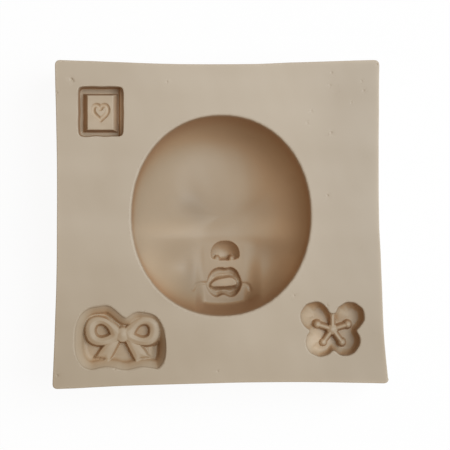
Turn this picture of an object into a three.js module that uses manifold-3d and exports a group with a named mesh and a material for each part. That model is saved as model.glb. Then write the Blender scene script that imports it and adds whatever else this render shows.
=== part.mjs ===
// A silicone mold for small craft casts, cured in one pour round four masters:
// a doll's face and three charms. The slab is one THREE.Mesh. Each hollow in its top
// is its master's own shape, built as a solid and cut away.
// Millimetres, +Z up. The origin is the middle of the flat back, and the hollows open upwards.
import * as THREE from 'three';
import { mergeVertices } from 'three/addons/utils/BufferGeometryUtils.js';
import Module from 'manifold-3d';

// The face hollow: an oval rim and a deep bowl, with the doll's forehead towards +Y
const FACE_HALF_WIDTH = 26.95;
const FACE_HALF_HEIGHT = 30.1;
const FACE_SQUARENESS = 2.1;
const FACE_DEPTH = 17.4;
const FACE_LIP = 0.7;

// How steeply the bowl's wall falls towards each side, and how its upper part flares
const WALL = { left: 1.7, right: 2.37, forehead: 6.2, chin: 7 };
const FLARE = { left: 0.49, right: 0.45, forehead: 0.7, chin: 0.76 };
const TURN_WIDTH = 20;

// Soft forms of the bowl's floor. FOREHEAD ramps down from a curved edge, CREST is the raised line of
// the eyes, and EYE_STEP is the drop in front of it. Cheeks and temples go deeper, or less deep, by side.
const FOREHEAD = { x: -5.2, edge: -4.4, curve: 0.03, reach: 21, deeper: 2 };
const RAMP_START_EASE = 1.2;
const RAMP_END_EASE = 0.25;
const CREST = { y: -7.1, above: 5.5, below: 4.2, left: 2.2, right: 1.3 };
const EYE_STEP = { y: -9.2, reach: 4, left: 0.5, right: 2.2 };
const CHEEKS = { x: 13.5, y: -16.8, reach: 5.2, left: 1.2, right: -0.3 };
const TEMPLES = { x: 14, y: 3.2, reach: 5.2, left: 0.8, right: -0.3 };

// The muzzle: a plateau round nose and mouth, from the crest to the chin's wall
const MUZZLE = { left: -7.4, leftEdge: 3.6, right: 8.9, rightEdge: 2, crestEdge: 5 };
const MUZZLE_CREST_DEPTH = 15.9;
const MUZZLE_CHIN_DEPTH = 18.4;
const CHIN_BANK = 6.5;
const CHIN_ROUND = 1.2;

// Nose and lips, each a pocket in the face's floor
const NOSE = { x: 1.3, y: -10.35, halfWidth: 4.45, halfHeight: 3.1, squareness: 2.3, deeper: 4.6 };
const NOSTRIL = { y: -12.8, halfWidth: 0.95, halfHeight: 1.3, rise: 3.9 };
const NOSTRIL_X = { left: -1.35, right: 3 };
const MOUTH_X = 1.05;
const MOUTH_HALF_WIDTH = 5.65;
const MOUTH_CORNER_Y = -20.4;
const UPPER_LIP = { y: -16.8, halfHeight: 1.6, deeper: 2.9, dip: -0.4 };
const LOWER_LIP = { y: -23.1, halfHeight: 1.5, deeper: 2.9, dip: 0.5 };
const LIP_DIP_SHARE = 0.2;

// The slab: its thickness, the wall left at each side of the face's oval, and inward bows
const SLAB_HEIGHT = 27.9;
const LEFT_WALL = 23.65;
const RIGHT_WALL = 23.45;
const BACK_WALL = 16.65;
const FRONT_WALL = 21.95;
const BACK_LEFT_DRAW = 0.75;
const BACK_RIGHT_DRAW = 2.9;
const FRONT_RIGHT_DRAW = 1.75;
const LEFT_BOW = 0.9;
const RIGHT_BOW = 1.4;
const BACK_BOW = 1.2;
const FRONT_BOW = 0.95;
const CORNER_ROUND = 1.6;
const EDGE_ROUND = 0.9;

// The tile charm by the back left corner: a square pit with a ledge along its right wall,
// and a post with sloping sides, whose top carries a shallow heart
const TILE_WIDTH = 13.4;
const TILE_LENGTH = 14.8;
const TILE_SQUARENESS = 11;
const TILE_DEPTH = 4.6;
const TILE_LIP = 0.3;
const TILE_DRAFT = 0.3;
const TILE_FOOT_ROUND = 0.5;
const TILE_LEFT_WALL = 7.9;
const TILE_BACK_WALL = 8.15;
const LEDGE_WIDTH = 1.1;
const LEDGE_DEPTH = 3;
const POST_WIDTH = 7.9;
const POST_LENGTH = 10.4;
const POST_SLOPE = 0.9;
const POST_TOP_DEPTH = 1.4;
const HEART_WIDTH = 6;
const HEART_STROKE = 1.6;
const HEART_GROOVE = 0.7;

// The cloud charm by the front left corner: three merged lobes, and a raised ribbon bow on their floor
const CLOUD_DEPTH = 5.8;
const CLOUD_LIP = 0.5;
const CLOUD_DRAFT = 1.5;
const CLOUD_FOOT_ROUND = 1.7;
const CLOUD_SQUARENESS = 2.7;
const CLOUD_LEFT_WALL = 6.9;
const CLOUD_FRONT_WALL = 5.7;
const LEFT_LOBE = { x: 6.75, low: 0.3, halfWidth: 6.75, halfHeight: 9.6 };
const RIGHT_LOBE = { x: 20.9, low: 0.6, halfWidth: 6.3, halfHeight: 8.4 };
const BELLY_LOBE = { x: 14, low: 0, halfWidth: 6.5, halfHeight: 7.6 };
const RIBBON_TOP_DEPTH = 1.6;
const RIBBON_LIFT = 10.4;
const RIBBON_WIDTH = 2.9;
const LOOP_LENGTH = 11.2;
const LOOP_HEIGHT = 9.8;
const KNOT_HALF_WIDTH = 2.1;
const KNOT_HALF_HEIGHT = 2.3;
const KNOT_PROUD = 0.35;
const TAIL_LENGTH = 8.2;
const TAIL_SPREAD = 5.6;
const RIBBON_EASE = 0.35;

// The flower charm by the front right corner: four round petals, and raised stamens at its middle
const PETAL_RADIUS = 4.1;
const PETAL_DEPTH = 5.6;
const PETAL_LIP = 0.45;
const PETAL_DRAFT = 0.8;
const PETAL_FOOT_ROUND = 2.8;
const UPPER_PETALS = { x: -0.1, spread: 5.2, lift: 4 };
const LOWER_PETALS = { x: 0.1, spread: 3.75, lift: -3.55 };
const HUB_RADIUS = 4.9;
const FLOWER_RIGHT_WALL = 7.45;
const FLOWER_FRONT_WALL = 10.05;
const STAMEN_COUNT = 5;
const STAMEN_WIDTH = 1.25;
const STAMEN_LENGTH = 4.8;
const STAMEN_TOP_DEPTH = 1.7;
const BEAD_RADIUS = 1;
const BEAD_PROUD = 0.2;
const PISTIL_RADIUS = 1.6;
const STAMEN_EASE = 0.35;

// How finely curves are cut, and how far a master stands clear of the slab so that its cut is clean
const FACE_SPOKES = 64;
const FACE_RINGS = 24;
const CHARM_SPOKES = 32;
const NOSE_SPOKES = 24;
const NOSE_RINGS = 6;
const FOOT_RINGS = 3;
const LIP_RINGS = 2;
const LIP_STATIONS = 12;
const LIP_SIDES = 8;
const NOSTRIL_SIDES = 10;
const NOSTRIL_STEPS = 8;
const CURVE_STEPS = 7;
const SLAB_SIDE_STEPS = 10;
const EASE_STEPS = 1;
const OVERSHOOT = 2;
const WELD_DISTANCE = 1e-4;

const QUARTER_TURN = Math.PI / 2;
const FULL_TURN = Math.PI * 2;
const SILICONE = { color: 0xbeb09a, roughness: 0.55, metalness: 0 };

const wasm = await Module();
wasm.setup();

// Solids

function solidAt(origin, geometry) {
  const bare = geometry.clone().translate(origin.x, origin.y, origin.z);
  bare.deleteAttribute('normal');
  bare.deleteAttribute('uv');
  const merged = mergeVertices(bare, WELD_DISTANCE);
  return new wasm.Manifold(new wasm.Mesh({
    numProp: 3,
    vertProperties: merged.attributes.position.array,
    triVerts: new Uint32Array(merged.index.array),
  }));
}

function joined(origin, geometries) {
  return geometries.map((geometry) => solidAt(origin, geometry)).reduce((whole, solid) => whole.add(solid));
}

function geometryOf(solid) {
  const mesh = solid.getMesh();
  const geometry = new THREE.BufferGeometry();
  geometry.setAttribute('position', new THREE.BufferAttribute(new Float32Array(mesh.vertProperties), 3));
  geometry.setIndex(new THREE.BufferAttribute(new Uint32Array(mesh.triVerts), 1));
  const flat = geometry.toNonIndexed();
  flat.computeVertexNormals();
  return flat;
}

function meshFrom(points, faces) {
  const geometry = new THREE.BufferGeometry();
  geometry.setAttribute('position', new THREE.Float32BufferAttribute(points, 3));
  geometry.setIndex(faces);
  return geometry;
}

function anticlockwise(points) {
  return THREE.ShapeUtils.isClockWise(points) ? points.reverse() : points;
}

// A flat shape raised from one height to another, with its edges eased
function raised(shape, low, high, ease) {
  const { shape: rim, holes } = shape.extractPoints(CURVE_STEPS);
  const outline = new THREE.Shape(anticlockwise(rim));
  outline.holes = holes.map((hole) => new THREE.Path(hole));
  return new THREE.ExtrudeGeometry(outline, {
    depth: high - low - 2 * ease,
    bevelEnabled: ease > 0,
    bevelThickness: ease,
    bevelSize: ease,
    bevelOffset: -ease,
    bevelSegments: EASE_STEPS,
  }).translate(0, 0, low + ease);
}

function disc(x, y, halfWidth, halfHeight) {
  return new THREE.Shape().absellipse(x, y, halfWidth, halfHeight, 0, FULL_TURN);
}

// Hollows, whose height 0 is the slab's top

// The radius of a rounded oval or square at an angle
function roundedRim(halfWidth, halfHeight, squareness) {
  return (angle) => {
    const across = Math.abs(Math.cos(angle) / halfWidth) ** squareness;
    const along = Math.abs(Math.sin(angle) / halfHeight) ** squareness;
    return (across + along) ** (-1 / squareness);
  };
}

// Rings from above the slab's top, down over the rounded lip to where the wall starts
function lipRings(lip) {
  const rings = [{ reach: (rim) => rim + lip, depth: () => -OVERSHOOT }];
  for (let step = 0; step < LIP_RINGS; step++) {
    const turn = QUARTER_TURN * (step / LIP_RINGS);
    rings.push({
      reach: (rim) => rim + lip * (1 - Math.sin(turn)),
      depth: () => lip * (1 - Math.cos(turn)),
    });
  }
  return rings;
}

// A closed solid whose rings run down a hollow's wall to one point on its floor
function hollow(rimAt, rings, floorDepth, spokes, middle = { x: 0, y: 0 }) {
  const points = [];
  const faces = [];
  for (const ring of rings) {
    for (let spoke = 0; spoke < spokes; spoke++) {
      const angle = (FULL_TURN * spoke) / spokes;
      const reach = ring.reach(rimAt(angle));
      const x = middle.x + reach * Math.cos(angle);
      const y = middle.y + reach * Math.sin(angle);
      points.push(x, y, -ring.depth(x, y));
    }
  }
  const floorPoint = points.length / 3;
  points.push(middle.x, middle.y, -floorDepth);
  const lidPoint = floorPoint + 1;
  points.push(middle.x, middle.y, OVERSHOOT);
  const last = (rings.length - 1) * spokes;
  for (let spoke = 0; spoke < spokes; spoke++) {
    const next = (spoke + 1) % spokes;
    faces.push(lidPoint, spoke, next);
    for (let row = 0; row < last; row += spokes) {
      faces.push(row + spoke, row + spokes + spoke, row + spokes + next);
      faces.push(row + spoke, row + spokes + next, row + next);
    }
    faces.push(floorPoint, last + next, last + spoke);
  }
  return meshFrom(points, faces);
}

// A pit with a drafted wall and a round at the wall's foot
function pit(halfWidth, halfHeight, squareness, { depth, lip, draft, footRound }) {
  const rings = lipRings(lip);
  rings.push({ reach: (rim) => rim, depth: () => lip });
  for (let step = 0; step <= FOOT_RINGS; step++) {
    const turn = QUARTER_TURN * (step / FOOT_RINGS);
    rings.push({
      reach: (rim) => rim - draft - footRound * (1 - Math.cos(turn)),
      depth: () => depth - footRound * (1 - Math.sin(turn)),
    });
  }
  return hollow(roundedRim(halfWidth, halfHeight, squareness), rings, depth, CHARM_SPOKES);
}

// The face

const faceRim = roundedRim(FACE_HALF_WIDTH, FACE_HALF_HEIGHT, FACE_SQUARENESS);

function eased(value) {
  const t = Math.min(1, Math.max(0, value));
  return t * t * (3 - 2 * t);
}

// The smaller of two depths, rounded over where they cross
function softMin(a, b, blend) {
  const mix = Math.min(1, Math.max(0, 0.5 + (b - a) / (2 * blend)));
  return b + (a - b) * mix - blend * mix * (1 - mix);
}

function foreheadRamp(x, y) {
  const rise = y - FOREHEAD.edge - FOREHEAD.curve * (x - FOREHEAD.x) ** 2;
  const start = (rise + Math.hypot(rise, RAMP_START_EASE)) / (2 * FOREHEAD.reach);
  const left = 1 - start;
  return FOREHEAD.deeper * (1 - (left + Math.hypot(left, RAMP_END_EASE)) / 2);
}

function crestRise(y) {
  const reach = y > CREST.y ? CREST.above : CREST.below;
  return Math.exp(-(((y - CREST.y) / reach) ** 2));
}

function bump(pair, side, x, y) {
  return Math.exp(-(((x - side * pair.x) / pair.reach) ** 2) - ((y - pair.y) / pair.reach) ** 2);
}

// What forehead, crest, cheeks and temples add to the bowl's depth
function softForms(x, y) {
  const toRight = eased(0.5 + x / TURN_WIDTH);
  const bySide = (form) => form.right * toRight + form.left * (1 - toRight);
  const step = bySide(EYE_STEP) * eased(0.5 + (EYE_STEP.y - y) / EYE_STEP.reach);
  let deeper = foreheadRamp(x, y) - bySide(CREST) * crestRise(y) + step;
  for (const pair of [CHEEKS, TEMPLES]) {
    deeper += pair.left * bump(pair, -1, x, y) + pair.right * bump(pair, 1, x, y);
  }
  return deeper;
}

// 1 on the bowl's floor and 0 at its rim, for a share of the way out
function bowlWall(angle, share) {
  const toChin = Math.max(0, -Math.sin(angle)) ** 3;
  const toForehead = Math.max(0, Math.sin(angle)) ** 2;
  const toRight = eased(0.5 + Math.cos(angle));
  const blend = ({ left, right, forehead, chin }) => {
    const sides = (right * toRight + left * (1 - toRight)) * (1 - toChin - toForehead);
    return sides + forehead * toForehead + chin * toChin;
  };
  return (1 - share ** blend(WALL)) ** blend(FLARE);
}

function muzzleShare(x, y) {
  const left = eased(0.5 + (x - MUZZLE.left) / MUZZLE.leftEdge);
  const right = eased(0.5 + (MUZZLE.right - x) / MUZZLE.rightEdge);
  return left * right * eased(0.5 + (CREST.y - y) / MUZZLE.crestEdge);
}

// How deep the face's floor lies. The forms fade out up the wall, so that the rim stays level.
function faceDepth(x, y) {
  const angle = Math.atan2(y, x);
  const rim = faceRim(angle);
  const share = Math.min(1, Math.hypot(x, y) / rim);
  const bowl = FACE_LIP + (FACE_DEPTH - FACE_LIP + softForms(x, y)) * bowlWall(angle, share);
  const toChin = (CREST.y - y) / (FACE_HALF_HEIGHT + CREST.y);
  const floor = MUZZLE_CREST_DEPTH + (MUZZLE_CHIN_DEPTH - MUZZLE_CREST_DEPTH) * toChin;
  const muzzle = softMin(floor, FACE_LIP + CHIN_BANK * rim * (1 - share), CHIN_ROUND);
  return bowl + (muzzle - bowl) * muzzleShare(x, y);
}

function headHollow() {
  const rings = lipRings(FACE_LIP);
  for (let step = 0; step < FACE_RINGS; step++) {
    const share = Math.cos(QUARTER_TURN * (step / FACE_RINGS));
    rings.push({ reach: (rim) => rim * share, depth: faceDepth });
  }
  return hollow(faceRim, rings, faceDepth(0, 0), FACE_SPOKES);
}

// A shaft down to the face's floor that ends in the nose's rounded pocket
function nosePocket() {
  const middle = { x: NOSE.x, y: NOSE.y };
  const rings = [{ reach: (rim) => rim, depth: () => -OVERSHOOT }];
  for (let step = 0; step < NOSE_RINGS; step++) {
    const share = Math.cos(QUARTER_TURN * (step / NOSE_RINGS));
    const deeper = NOSE.deeper * (1 - share ** 2);
    rings.push({ reach: (rim) => rim * share, depth: (x, y) => faceDepth(x, y) + deeper });
  }
  const floor = faceDepth(middle.x, middle.y) + NOSE.deeper;
  const rim = roundedRim(NOSE.halfWidth, NOSE.halfHeight, NOSE.squareness);
  return hollow(rim, rings, floor, NOSE_SPOKES, middle);
}

function nostril(x) {
  const floor = faceDepth(NOSE.x, NOSE.y) + NOSE.deeper;
  return new THREE.SphereGeometry(1, NOSTRIL_SIDES, NOSTRIL_STEPS)
    .scale(NOSTRIL.halfWidth, NOSTRIL.halfHeight, NOSTRIL.rise)
    .translate(x, NOSTRIL.y, -floor);
}

// Oval sections along an arch from one mouth corner to the other, with a dip at the middle
function lipForm({ y, halfHeight, deeper, dip }) {
  const points = [];
  const faces = [];
  for (let station = 1; station < LIP_STATIONS; station++) {
    const along = -Math.cos((Math.PI * station) / LIP_STATIONS);
    const taper = Math.sqrt(1 - along * along);
    const x = MOUTH_X + MOUTH_HALF_WIDTH * along;
    const arch = y + (MOUTH_CORNER_Y - y) * along ** 2;
    const middle = arch + dip * Math.exp(-((along / LIP_DIP_SHARE) ** 2));
    const floor = faceDepth(x, middle);
    for (let side = 0; side < LIP_SIDES; side++) {
      const angle = (FULL_TURN * side) / LIP_SIDES;
      const across = halfHeight * taper * Math.cos(angle);
      points.push(x, middle + across, deeper * taper * Math.sin(angle) - floor);
    }
  }
  const leftTip = points.length / 3;
  const rightTip = leftTip + 1;
  for (const x of [MOUTH_X - MOUTH_HALF_WIDTH, MOUTH_X + MOUTH_HALF_WIDTH]) {
    points.push(x, MOUTH_CORNER_Y, -faceDepth(x, MOUTH_CORNER_Y));
  }
  const last = (LIP_STATIONS - 2) * LIP_SIDES;
  for (let side = 0; side < LIP_SIDES; side++) {
    const next = (side + 1) % LIP_SIDES;
    faces.push(leftTip, next, side);
    for (let row = 0; row < last; row += LIP_SIDES) {
      faces.push(row + side, row + next, row + LIP_SIDES + next);
      faces.push(row + side, row + LIP_SIDES + next, row + LIP_SIDES + side);
    }
    faces.push(rightTip, last + side, last + next);
  }
  return meshFrom(points, faces);
}

function faceMaster(origin) {
  const pockets = joined(origin, [headHollow(), nosePocket(), lipForm(UPPER_LIP), lipForm(LOWER_LIP)]);
  return pockets.subtract(joined(origin, [nostril(NOSTRIL_X.left), nostril(NOSTRIL_X.right)]));
}

// The tile charm

function heartOutline(width) {
  const half = width / 2;
  const heart = new THREE.Shape();
  heart.moveTo(0, half * 0.55);
  heart.bezierCurveTo(-half * 0.3, half * 1.25, -half * 1.1, half * 1.05, -half, half * 0.25);
  heart.bezierCurveTo(-half * 0.9, -half * 0.35, -half * 0.3, -half * 0.65, 0, -half);
  heart.bezierCurveTo(half * 0.3, -half * 0.65, half * 0.9, -half * 0.35, half, half * 0.25);
  heart.bezierCurveTo(half * 1.1, half * 1.05, half * 0.3, half * 1.25, 0, half * 0.55);
  return heart;
}

// The post's sides reach their full spread at the pit's floor and go on below it
function tilePost() {
  const height = TILE_DEPTH + OVERSHOOT - POST_TOP_DEPTH;
  const spread = (2 * POST_SLOPE * height) / (TILE_DEPTH - POST_TOP_DEPTH);
  const post = new THREE.BoxGeometry(1, 1, height).translate(0, 0, -POST_TOP_DEPTH - height / 2);
  const corners = post.attributes.position;
  for (let corner = 0; corner < corners.count; corner++) {
    const wider = corners.getZ(corner) < -TILE_DEPTH ? spread : 0;
    corners.setX(corner, corners.getX(corner) * (POST_WIDTH + wider));
    corners.setY(corner, corners.getY(corner) * (POST_LENGTH + wider));
  }
  return post;
}

function tileLedge() {
  const height = TILE_DEPTH + OVERSHOOT - LEDGE_DEPTH;
  const width = LEDGE_WIDTH + OVERSHOOT;
  return new THREE.BoxGeometry(width, TILE_LENGTH + 2 * OVERSHOOT, height)
    .translate(TILE_WIDTH / 2 - LEDGE_WIDTH + width / 2, 0, -LEDGE_DEPTH - height / 2);
}

function tileMaster(origin) {
  const groove = heartOutline(HEART_WIDTH);
  groove.holes.push(heartOutline(HEART_WIDTH - 2 * HEART_STROKE));
  const heart = raised(groove, -POST_TOP_DEPTH - HEART_GROOVE, -POST_TOP_DEPTH + HEART_GROOVE, 0);
  const well = pit(TILE_WIDTH / 2, TILE_LENGTH / 2, TILE_SQUARENESS, {
    depth: TILE_DEPTH,
    lip: TILE_LIP,
    draft: TILE_DRAFT,
    footRound: TILE_FOOT_ROUND,
  });
  return solidAt(origin, well)
    .subtract(solidAt(origin, tilePost()))
    .subtract(solidAt(origin, tileLedge()))
    .add(solidAt(origin, heart));
}

// The cloud charm, from the front left corner of the box round its walls

function ribbonLoop(side) {
  const end = side * LOOP_LENGTH;
  const high = LOOP_HEIGHT * 0.62;
  const low = LOOP_HEIGHT * -0.38;
  const loop = new THREE.Shape();
  loop.moveTo(0, 0.9);
  loop.bezierCurveTo(end * 0.35, high, end, high * 1.25, end, high * 0.2);
  loop.bezierCurveTo(end, low * 1.2, end * 0.45, low * 1.1, 0, -1.1);
  loop.closePath();
  const root = side * (KNOT_HALF_WIDTH + RIBBON_WIDTH / 2);
  const tip = end - side * RIBBON_WIDTH;
  const innerHigh = high - RIBBON_WIDTH * 0.7;
  const innerLow = low + RIBBON_WIDTH * 0.8;
  const eye = new THREE.Path();
  eye.moveTo(root, 0.15);
  eye.bezierCurveTo(end * 0.42, innerHigh, tip, innerHigh, tip, high * 0.2);
  eye.bezierCurveTo(tip, innerLow, end * 0.5, innerLow, root, 0.15);
  loop.holes.push(eye);
  return loop;
}

function ribbonTail(side) {
  const wide = side * RIBBON_WIDTH;
  const foot = side * TAIL_SPREAD;
  const tail = new THREE.Shape();
  tail.moveTo(0, 0);
  tail.lineTo(wide * 0.8, 0);
  tail.quadraticCurveTo(foot * 0.6 + wide, TAIL_LENGTH * -0.5, foot + wide * 0.8, TAIL_LENGTH * -0.82);
  tail.lineTo(foot, TAIL_LENGTH * -0.86);
  tail.lineTo(foot - wide * 0.5, -TAIL_LENGTH);
  tail.quadraticCurveTo(foot * 0.35, TAIL_LENGTH * -0.5, 0, 0);
  return tail;
}

function cloudMaster(origin) {
  const walls = { depth: CLOUD_DEPTH, lip: CLOUD_LIP, draft: CLOUD_DRAFT, footRound: CLOUD_FOOT_ROUND };
  const lobes = [LEFT_LOBE, RIGHT_LOBE, BELLY_LOBE].map(({ x, low, halfWidth, halfHeight }) => (
    pit(halfWidth, halfHeight, CLOUD_SQUARENESS, walls).translate(x, low + halfHeight, 0)
  ));
  const foot = -CLOUD_DEPTH - OVERSHOOT;
  const knot = disc(0, 0, KNOT_HALF_WIDTH, KNOT_HALF_HEIGHT);
  const ribbon = [raised(knot, foot, KNOT_PROUD - RIBBON_TOP_DEPTH, RIBBON_EASE)];
  for (const side of [-1, 1]) {
    ribbon.push(raised(ribbonLoop(side), foot, -RIBBON_TOP_DEPTH, RIBBON_EASE));
    ribbon.push(raised(ribbonTail(side), foot, -RIBBON_TOP_DEPTH - KNOT_PROUD, RIBBON_EASE));
  }
  const middle = new THREE.Vector3(BELLY_LOBE.x, RIBBON_LIFT, 0).add(origin);
  return joined(origin, lobes).subtract(joined(middle, ribbon));
}

// The flower charm, from the point where its stamens meet

function flowerMaster(origin) {
  const walls = { depth: PETAL_DEPTH, lip: PETAL_LIP, draft: PETAL_DRAFT, footRound: PETAL_FOOT_ROUND };
  const bowls = [pit(HUB_RADIUS, HUB_RADIUS, 2, walls)];
  for (const { x, spread, lift } of [UPPER_PETALS, LOWER_PETALS]) {
    for (const side of [-1, 1]) {
      bowls.push(pit(PETAL_RADIUS, PETAL_RADIUS, 2, walls).translate(x + side * spread, lift, 0));
    }
  }
  const foot = -PETAL_DEPTH - OVERSHOOT;
  const pistil = disc(0, 0, PISTIL_RADIUS, PISTIL_RADIUS);
  const stalk = new THREE.Shape();
  stalk.moveTo(0, -STAMEN_WIDTH / 2);
  stalk.lineTo(STAMEN_LENGTH, -STAMEN_WIDTH / 2);
  stalk.lineTo(STAMEN_LENGTH, STAMEN_WIDTH / 2);
  stalk.lineTo(0, STAMEN_WIDTH / 2);
  const bead = disc(STAMEN_LENGTH, 0, BEAD_RADIUS, BEAD_RADIUS);
  const centre = [raised(pistil, foot, BEAD_PROUD - STAMEN_TOP_DEPTH, STAMEN_EASE)];
  for (let stamen = 0; stamen < STAMEN_COUNT; stamen++) {
    const turn = (FULL_TURN * (stamen + 0.25)) / STAMEN_COUNT;
    centre.push(raised(stalk, foot, -STAMEN_TOP_DEPTH, STAMEN_EASE).rotateZ(turn));
    centre.push(raised(bead, foot, BEAD_PROUD - STAMEN_TOP_DEPTH, STAMEN_EASE).rotateZ(turn));
  }
  return joined(origin, bowls).subtract(joined(origin, centre));
}

// The slab

const slabHalfWidth = (LEFT_WALL + RIGHT_WALL) / 2 + FACE_HALF_WIDTH;
const slabHalfLength = (BACK_WALL + FRONT_WALL) / 2 + FACE_HALF_HEIGHT;

// Corners anticlockwise from the front left, each with the inward bow of the side that follows it
const slabCorners = [
  { x: -slabHalfWidth, y: -slabHalfLength, bow: FRONT_BOW },
  { x: slabHalfWidth, y: -slabHalfLength + FRONT_RIGHT_DRAW, bow: RIGHT_BOW },
  { x: slabHalfWidth - BACK_RIGHT_DRAW, y: slabHalfLength, bow: BACK_BOW },
  { x: -slabHalfWidth + BACK_LEFT_DRAW, y: slabHalfLength, bow: LEFT_BOW },
];

function slabOutline() {
  const outline = new THREE.Shape();
  const corners = slabCorners.map(({ x, y }) => new THREE.Vector2(x, y));
  corners.push(corners[0]);
  slabCorners.forEach(({ bow }, index) => {
    const corner = corners[index];
    const following = corners[index + 1];
    const along = following.clone().sub(corner).normalize();
    const start = corner.clone().addScaledVector(along, CORNER_ROUND);
    const end = following.clone().addScaledVector(along, -CORNER_ROUND);
    const pull = new THREE.Vector2(-along.y, along.x).multiplyScalar(2 * bow);
    const middle = start.clone().add(end).multiplyScalar(0.5).add(pull);
    if (index === 0) outline.moveTo(start.x, start.y);
    else outline.quadraticCurveTo(corner.x, corner.y, start.x, start.y);
    outline.quadraticCurveTo(middle.x, middle.y, end.x, end.y);
  });
  const close = outline.curves[0].v0;
  outline.quadraticCurveTo(corners[0].x, corners[0].y, close.x, close.y);
  return outline;
}

function slabGeometry() {
  const block = new THREE.ExtrudeGeometry(slabOutline(), {
    depth: SLAB_HEIGHT - 2 * EDGE_ROUND,
    curveSegments: SLAB_SIDE_STEPS,
    bevelThickness: EDGE_ROUND,
    bevelSize: EDGE_ROUND,
    bevelOffset: -EDGE_ROUND,
    bevelSegments: LIP_RINGS,
  }).translate(0, 0, EDGE_ROUND);
  const onTop = (x, y) => new THREE.Vector3(x, y, SLAB_HEIGHT);
  const masters = [
    faceMaster(onTop(
      LEFT_WALL + FACE_HALF_WIDTH - slabHalfWidth,
      FRONT_WALL + FACE_HALF_HEIGHT - slabHalfLength,
    )),
    tileMaster(onTop(
      TILE_LEFT_WALL + TILE_WIDTH / 2 - slabHalfWidth,
      slabHalfLength - TILE_BACK_WALL - TILE_LENGTH / 2,
    )),
    cloudMaster(onTop(CLOUD_LEFT_WALL - slabHalfWidth, CLOUD_FRONT_WALL - slabHalfLength)),
    flowerMaster(onTop(
      slabHalfWidth - FLOWER_RIGHT_WALL - PETAL_RADIUS - UPPER_PETALS.spread,
      FLOWER_FRONT_WALL + PETAL_RADIUS - LOWER_PETALS.lift - slabHalfLength,
    )),
  ];
  const bare = solidAt(new THREE.Vector3(), block);
  return geometryOf(masters.reduce((rest, master) => rest.subtract(master), bare));
}

const slab = new THREE.Mesh(slabGeometry(), new THREE.MeshStandardMaterial(SILICONE));
slab.name = 'mold_block';

const mold = new THREE.Group();
mold.add(slab);
export default mold;
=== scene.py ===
# A silicone mold seen from straight above: one soft beige slab with a doll's face and three charms cast into its top.
# The slab replaces its CAD solid. Lengths are in millimetres, and MM turns them into metres where meshes are made.
import math

import bpy
import numpy as np
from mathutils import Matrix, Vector, geometry


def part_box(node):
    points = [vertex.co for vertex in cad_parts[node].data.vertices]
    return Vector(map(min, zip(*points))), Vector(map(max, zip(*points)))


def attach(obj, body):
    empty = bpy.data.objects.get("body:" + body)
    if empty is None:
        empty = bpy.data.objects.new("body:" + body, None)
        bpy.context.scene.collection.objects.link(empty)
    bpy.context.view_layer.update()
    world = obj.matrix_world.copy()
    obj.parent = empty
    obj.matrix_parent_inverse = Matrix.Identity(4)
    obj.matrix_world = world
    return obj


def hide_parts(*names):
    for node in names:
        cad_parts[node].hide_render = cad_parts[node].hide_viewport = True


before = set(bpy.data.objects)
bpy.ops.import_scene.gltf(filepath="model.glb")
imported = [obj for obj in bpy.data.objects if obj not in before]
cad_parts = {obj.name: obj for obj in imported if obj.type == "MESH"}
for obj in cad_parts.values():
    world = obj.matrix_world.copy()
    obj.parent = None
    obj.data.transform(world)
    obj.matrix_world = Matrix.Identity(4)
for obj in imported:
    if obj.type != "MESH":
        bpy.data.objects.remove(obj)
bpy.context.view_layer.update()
MM = 0.001
SLAB_NODE = "mold_block"
TOP = float(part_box(SLAB_NODE)[1][2]) / MM

# The face hollow, from the middle of its oval rim
FACE_AT = (0.1, 2.65)
FACE_HALF_WIDTH = 26.95
FACE_HALF_HEIGHT = 30.1
FACE_SQUARENESS = 2.1
FACE_FLOOR = 17.4
FACE_LIP = 0.7

# The three charms, each from the point that its rings close on
TILE_AT = (-36.05, 33.95)
TILE_HALF_WIDTH = 6.85
TILE_HALF_LENGTH = 7.55
TILE_SQUARENESS = 11.0
TILE_WALLS = dict(depth=4.6, lip=0.3, draft=0.3, foot=0.5)
POST_HALF_WIDTH = 3.95
POST_HALF_LENGTH = 5.2
POST_AT = (-0.15, -0.25)
POST_TOP = 1.4
POST_SLOPE = 0.7
POST_LEFT_SLOPE = 1.6
POST_RIGHT_SLOPE = 1.3
POST_EDGE = 0.3
POST_MIDDLE = dict(deeper=0.14, half_width=3, half_length=3.6)
TILE_BLEND = 0.15
# A step along the tile's right wall
LEDGE = dict(start=4.5, edge_x=5.6, top=3.0, edge=0.25, slope=0.4)
# A sunk heart outline stands for the letter in the photographed tile
HEART_WIDTH = 6.0
HEART_STROKE = 1.6
HEART_GROOVE = 0.7

CLOUD_AT = (-29.75, -34.1)
CLOUD_WALLS = dict(depth=4.1, lip=0.5, draft=2.0, foot=1.7)
CLOUD_RIGHT = dict(start=8.0, over=3.0, deeper=0.5)
CLOUD_RIM = [
    (-14.5, -0.6), (-14.35, 2.4), (-13.7, 5.0), (-12.7, 7.1), (-11.3, 8.5), (-9.4, 9.5), (-7.0, 9.9),
    (-4.9, 10.2), (-3.4, 9.9), (-2.0, 9.0), (-0.7, 7.9), (0.25, 7.05), (1.15, 6.5), (1.95, 6.9), (3.1, 7.7),
    (4.9, 8.3), (6.7, 8.1), (8.6, 7.8), (10.4, 6.9), (11.7, 5.4), (12.6, 3.6), (13.2, 1.7), (13.65, -0.9),
    (13.7, -3.7), (13.35, -6.3), (12.3, -8.4), (10.9, -9.6), (9.0, -9.4), (6.3, -9.1), (4.1, -9.5),
    (1.9, -10.0), (-0.2, -9.9), (-2.0, -9.4), (-4.4, -9.1), (-6.6, -9.4), (-8.8, -9.9), (-10.8, -9.5),
    (-12.5, -8.3), (-13.8, -6.2), (-14.4, -3.6),
]
# A ribbon bow stands for the cloud's letters
RIBBON_TOP = 1.5

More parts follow.
